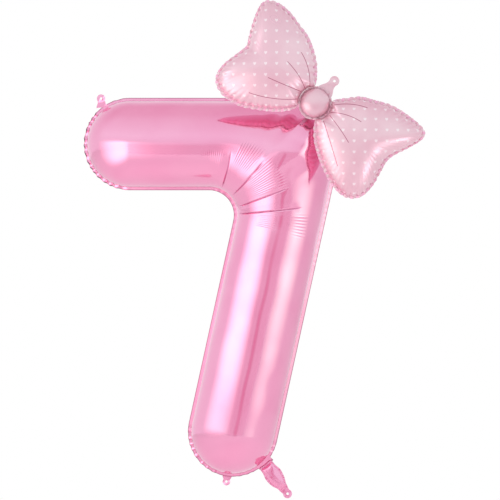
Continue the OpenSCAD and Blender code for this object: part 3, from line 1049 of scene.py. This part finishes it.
def hearts(finish):
    """1 inside the small white hearts, in a square grid on the flat cut."""
    flat = finish.node("ShaderNodeUVMap", uv_map="flat_cut")
    u, v, _ = finish.parts(flat)
    x = ((u / HEART_PITCH).fraction() - 0.5) * (HEART_PITCH / HEART_SIZE)
    y = ((v / HEART_PITCH).fraction() - 0.5) * (HEART_PITCH / HEART_SIZE)
    ball = x * x + y * y - 1
    edge = ball * ball * ball - x * x * y * y * y
    return 1 - finish.soft_step(edge, -0.15, 0.10)


def pearl(name, deep, pale, metal, hearts_too=False, lines_too=False):
    """A pearly film from deep to pale, with shade painted into the knot's gathers."""
    finish = new_finish(name)
    place = finish.object_place()
    tone = finish.noise(place, 14.0, 3.0)
    grain = finish.noise(place, 420.0, 2.0)
    color = deep if deep == pale else finish.mix(finish.soft_step(tone, 0.3, 0.7), deep, pale)
    # Painted shade in the folds of the knot's ring weld
    color = finish.mix(finish.mark("gathers") * 0.85, color, PEARL_SHADE)
    if hearts_too:
        print_share = hearts(finish)
        color = finish.mix(print_share * 0.75, color, PRINT_WHITE)
        metal = metal * (1 - 0.7 * print_share)
    if lines_too:
        color = finish.mix(drawn_creases(finish), color, PRINT_LINE)
    finish.close({
        "Base Color": color, "Metallic": metal, "Roughness": 0.25 + 0.08 * tone, "IOR": 1.5,
        "Coat Weight": 0.5, "Coat Roughness": 0.12,
        "Normal": finish.relief(tone + 0.05 * grain, 0.06, 0.002)})
    return finish


spotted_pearl = pearl("spotted_pearl_film", PEARL, PEARL_PALE, 0.5,
                      hearts_too=True, lines_too=True)
plain_pearl = pearl("plain_pearl_film", PEARL, PEARL_PALE, 0.42)
back_film = pearl("bow_back_film", PEARL_BACK, PEARL_BACK, 0.15)
dress(spotted_pearl, left_front, right_front)
dress(plain_pearl, knot_front, bow_tab, strap_inner)
dress(back_film, left_back, right_back, knot_back, strap_outer)

# %% [markdown]
# ## Valve film and gel
# The valve plies are thin milky plastic that shows a little of what lies behind
# it. The gel dots are clear and tacky. Both are partly see-through, which the
# alpha does without any tracing of thick glass.

# %% Valve film and gel
MILKY_WHITE = (0.86, 0.86, 0.88, 1)
GEL_WHITE = (0.84, 0.84, 0.82, 1)
valve_film = new_finish("milky_valve_film")
cloud = valve_film.noise(valve_film.object_place(), 120.0, 3.0)
valve_film.close({
    "Base Color": MILKY_WHITE, "Roughness": 0.25 + 0.15 * cloud,
    "Alpha": 0.65 + 0.1 * cloud, "Normal": valve_film.relief(cloud, 0.2, 0.001)})
gel = new_finish("clear_gel")
gel_cloud = gel.noise(gel.object_place(), 300.0, 2.0)
gel.close({
    "Base Color": GEL_WHITE, "Roughness": 0.12 + 0.1 * gel_cloud,
    "Alpha": 0.7 + 0.1 * gel_cloud})
dress(gel, dot)
VALVE_PLIES = [name for name in frame["nodes"] if "valve" in name]
dress(valve_film, *(frame["nodes"][name] for name in VALVE_PLIES))
print("valve plies:", VALVE_PLIES)

# %% [markdown]
# ## What moves with what
# Each piece that rides goes on the body of the CAD node it stands for, and that
# node is hidden. The pieces that cross a fold, the tabs and the neck at their
# roots and the loops at the pinched waist, keep their place and go on no body:
# only the CAD nodes they stand for are hidden.

# %% Bodies and hidden nodes
def ride(piece, body, slot, *nodes):
    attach(piece, body)
    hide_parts(*nodes)


def bend(piece, node, at, direction, start, end):
    """Bakes a piece's place into its mesh and hides the CAD node it stands for; nothing is bent.
    at, direction, start and end, a stretch from start to end metres past a fold line, are not used.
    """
    first = (at[0] + direction[0] * start, at[1], at[2] + direction[1] * start)
    second = (at[0] + direction[0] * end, at[1], at[2] + direction[1] * end)
    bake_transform(piece)
    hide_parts(node)


def fold_at(joint):
    return tuple(joints[joint]["pos_m"])


ride(seven_front, "seven", "pink_foil", "seven_front_film")
ride(seven_back, "seven", "pink_foil", "seven_back_film")
bend(top_tab, "top_hanging_tab", fold_at("top_tab_fold"),
     unit(top_way), -0.001, 0.003)
bend(bottom_tab, "bottom_ribbon_tab",
     fold_at("bottom_tab_fold"), heading(BOTTOM_TAB_ANGLE), -0.001, 0.003)
bend(neck_front, "neck_front_film", fold_at("neck_fold"),
     neck_dir, -0.002, 0.010)
bend(neck_back, "neck_back_film", fold_at("neck_fold"),
     neck_dir, -0.002, 0.010)
bend(neck_tip, "neck_tip_tab", fold_at("neck_tip_fold"),
     neck_dir, -0.001, 0.003)
ride(knot_front, "bow_knot", "pearl_foil", "bow_knot_front_film")
ride(knot_back, "bow_knot", "pearl_foil", "bow_knot_back_film")
bend(bow_tab, "bow_hanging_tab", fold_at("bow_tab_fold"),
     bow_across, -0.002, 0.005)
ride(strap_inner, "bow_knot", "pearl_foil", "bow_neck_inner_film")
ride(strap_outer, "bow_knot", "pearl_foil", "bow_neck_outer_film")
ride(dot, "bow_knot", "clear_glue", "glue_dots")
for front, back, word, way in ((left_front, left_back, "left", -bow_along),
                               (right_front, right_back, "right", bow_along)):
    for piece, half in ((front, "front"), (back, "back")):
        bend(piece, f"bow_{word}_loop_{half}_film",
             fold_at(f"bow_{word}_flap"), way, -0.004, 0.012)

# %% [markdown]
# ## Room, light and camera
# A foil balloon shows the room more than itself. The room here is a plain white
# studio with a pale floor. Its walls change softly in brightness with height in
# the mirror of the foil, and the camera sees them plain white. A soft window on
# the left lights everything; the wide one on the right lights only the seven, the
# two small ones only the bow's front films, and the ceiling panel only the floor,
# so each highlight can be set on its own. That is a trick of the studio: real
# lamps would light all of it.

# %% Floor
FLOOR_PAINT = ((0.84, 0.80, 0.81, 1), (0.88, 0.84, 0.85, 1))
start_fresh()
bpy.ops.mesh.primitive_circle_add(vertices=96, radius=7.5, fill_type="NGON",
                                  location=(0.3, 0, -1.35))
floor = bpy.context.object
floor.name = "floor"
floor_paint = new_finish("floor_paint")
mottle = floor_paint.noise(floor_paint.object_place(), 2.0)
floor_paint.close({"Base Color": floor_paint.mix(mottle, *FLOOR_PAINT), "Roughness": 0.8})
dress(floor_paint, floor)

# %% Studio walls: brightness by direction
def wall(brightness):
    """A wall's colour: rosy where it is dim, and where it is bright a faintly green
    white, which comes back from pink foil less pink."""
    over = brightness - 0.48
    return (0.76 + 0.25 * over, brightness, 0.60 + 0.75 * over, 1)


# Elevation in degrees and brightness, in front of the balloon and behind it
FRONT_WALL = [(-90, 1.02), (-77, 1.06), (-60, 1.14), (-46, 1.19), (-32, 1.16), (-19, 0.94),
              (-4, 0.94), (8, 1.16), (21, 1.26), (35, 1.16), (49, 1.07), (64, 0.99),
              (80, 0.87), (90, 0.83)]
BACK_WALL = [(-90, 1.00), (-30, 0.98), (0, 1.08), (35, 0.98), (62, 0.76), (90, 0.82)]


def stops(profile):
    return [((elevation + 90) / 180, wall(brightness)) for elevation, brightness in profile]


world = bpy.data.worlds.new("studio")
bpy.context.scene.world = world
walls = Finish(world)
look = walls.node("ShaderNodeTexCoord", output="Generated")
_, north, height = walls.parts(look)
elevation = walls.node("ShaderNodeMath", {0: height}, operation="ARCSINE") * (180 / math.pi)
climb = (elevation + 90) / 180
front_wall = walls.node("ShaderNodeValToRGB", {"Fac": climb}, stops=stops(FRONT_WALL))
back_wall = walls.node("ShaderNodeValToRGB", {"Fac": climb}, stops=stops(BACK_WALL))
wall_color = walls.mix(walls.soft_step(north, -0.30, 0.25), front_wall, back_wall)
reflected = walls.node("ShaderNodeBackground", {"Color": wall_color, "Strength": 1.0})
seen = walls.node("ShaderNodeBackground", {"Color": (1, 1, 1, 1), "Strength": 1.0})
direct = walls.node("ShaderNodeLightPath", output="Is Camera Ray")
both = walls.node("ShaderNodeMixShader", {0: direct, 1: reflected, 2: seen})
walls.node("ShaderNodeOutputWorld", {"Surface": both})


# %% Soft windows
def soft_window(name, middle, towards, width, height, brightness, edges, color=(1, 1, 1)):
    """An area lamp that fades at its edges; edges are the widths of its four fades:
    left, right, bottom and top, as shares of its size."""
    away = np.subtract(middle, towards)
    turn = math.atan2(away[0], -away[1])
    tilt = math.atan2(away[2], math.hypot(away[0], away[1]))
    start_fresh()
    bpy.ops.object.light_add(type="AREA", location=middle,
                             rotation=(math.pi / 2 - tilt, 0, turn))
    lamp = bpy.context.object
    lamp.name = name
    lamp.data.shape = "RECTANGLE"
    lamp.data.size = width
    lamp.data.size_y = height
    lamp.data.energy = brightness * math.pi * width * height
    lamp.data.color = color
    lamp.visible_camera = False
    glow = Finish(lamp.data)
    share = glow.soft_frame(glow.node("ShaderNodeNewGeometry", output="Parametric"), *edges)
    glow.node("ShaderNodeOutputLight",
              {"Surface": glow.node("ShaderNodeEmission", {"Strength": share})})
    return lamp


def shine_only_on(name, pieces, lamps):
    """Keeps the light of some lamps to some pieces."""
    lit = bpy.data.collections.new(name)
    for piece in pieces:
        lit.objects.link(piece)
    for lamp in lamps:
        lamp.light_linking.receiver_collection = lit


soft_window("left_window", (-0.22, -0.52, -0.47), (0.36, -0.06, -0.47), width=1.30,
            height=0.92, brightness=1.45, edges=(0.50, 0.42, 0.62, 0.10),
            color=(1.0, 1.0, 0.88))
right_window = soft_window("right_window", (2.75, -1.52, -0.30), (0.36, 0.0, -0.45), width=3.9,
                           height=3.0, brightness=1.7, edges=(0.45, 0.55, 0.45, 0.30),
                           color=(0.45, 1.0, 0.60))
bow_left = soft_window("bow_window_left", (-0.80, -0.75, 0.18), (0.40, 0.0, 0.13), width=0.80,
                       height=0.80, brightness=2.6, edges=(0.5,) * 4)
bow_right = soft_window("bow_window_right", (1.30, -0.85, -0.72), (0.62, 0.0, 0.0), width=0.70,
                        height=0.70, brightness=2.8, edges=(0.5,) * 4)
ceiling = soft_window("ceiling_panel", (0.35, -1.6, 3.0), (0.35, -1.5, -1.35), width=6.0,
                      height=6.0, brightness=1.1, edges=(0.3,) * 4, color=(0.9, 1.0, 0.95))
shine_only_on("lit_by_ceiling_panel", [floor], [ceiling])
shine_only_on("lit_by_right_window", [seven_front, seven_back], [right_window])
shine_only_on("lit_by_bow_windows", [left_front, right_front], [bow_left, bow_right])


# %% Dim cards in front of the seven
def card(name, low, high, distance, brightness, edge):
    """A soft-edged screen, seen in reflections and not by the camera. low and high are
    two opposite corners, each a place to the right and a height."""
    width, height = high[0] - low[0], high[1] - low[1]
    start_fresh()
    bpy.ops.mesh.primitive_plane_add(
        size=1, location=((low[0] + high[0]) / 2, -distance, (low[1] + high[1]) / 2),
        rotation=(math.pi / 2, 0, 0))
    piece = bpy.context.object
    piece.name = name
    piece.scale = (width, height, 1)
    bpy.ops.object.transform_apply(location=True, rotation=True, scale=True)
    paint = new_finish(name + "_paint")
    share = paint.soft_frame(paint.node("ShaderNodeTexCoord", output="UV"), *(edge,) * 4)
    glow = paint.node("ShaderNodeEmission", {"Color": wall(brightness)})
    clear = paint.node("ShaderNodeBsdfTransparent")
    paint.node("ShaderNodeOutputMaterial", {
        "Surface": paint.node("ShaderNodeMixShader", {0: share, 1: clear, 2: glow})})
    dress(paint, piece)
    piece.visible_camera = False
    piece.visible_shadow = False


card("wide_card", (-0.25, -1.05), (1.30, -0.06), 1.60, 0.78, 0.22)
card("narrow_card", (0.28, -1.15), (0.64, -0.10), 1.55, 0.40, 0.42)

# %% Camera
start_fresh()
bpy.ops.object.camera_add(location=(0.3343, -12.47, -0.3399), rotation=(math.pi / 2, 0, 0))
camera = bpy.context.object
camera.data.lens = 400
camera.data.sensor_width = 36
camera.data.clip_end = 100
bpy.context.scene.camera = camera
bpy.context.scene.view_settings.view_transform = "Standard"
